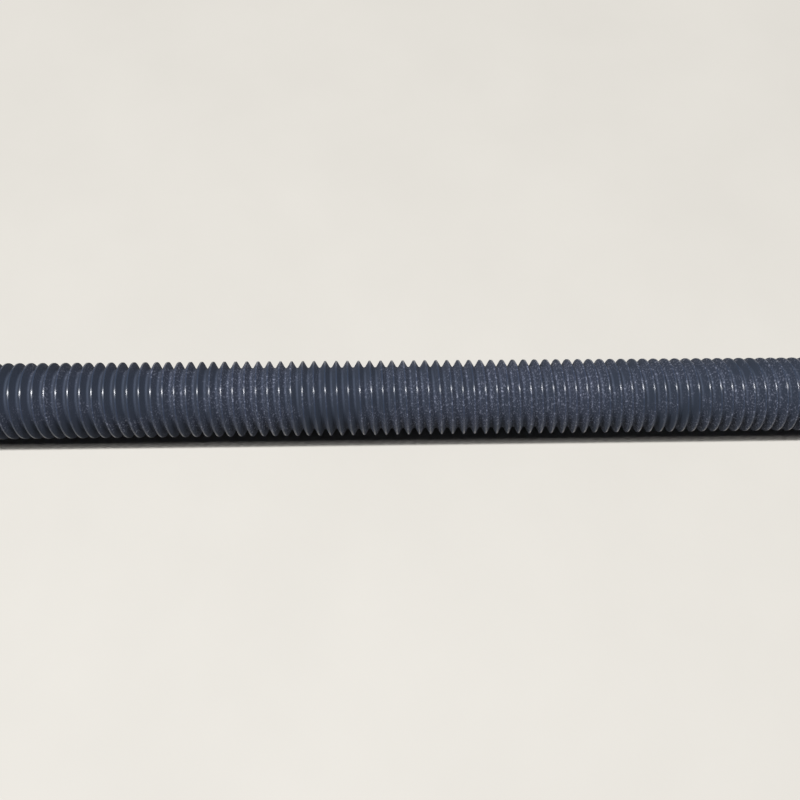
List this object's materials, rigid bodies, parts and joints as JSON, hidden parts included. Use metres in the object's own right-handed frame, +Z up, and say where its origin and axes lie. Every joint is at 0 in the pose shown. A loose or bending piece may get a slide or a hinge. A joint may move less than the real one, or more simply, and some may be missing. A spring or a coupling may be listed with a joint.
{
  "type": "threaded rod",
  "caption": "Straight dark grey plastic rod with a continuous right-hand screw thread from end to end, cut square and bevelled at its ends.",
  "frame": {"origin": "middle of the rod's axis", "axes": "+X along the rod's axis, +Z up from the surface that the rod lies on"},
  "size_m": [0.15, 0.0118, 0.0118],
  "materials": {
    "grey_pvc": "thread-cut stiff PVC in dark blue grey, semi-gloss, with fine torn grain on the flanks"
  },
  "bodies": {
    "root": {"threaded_rod": "grey_pvc"}
  },
  "joints": []
}
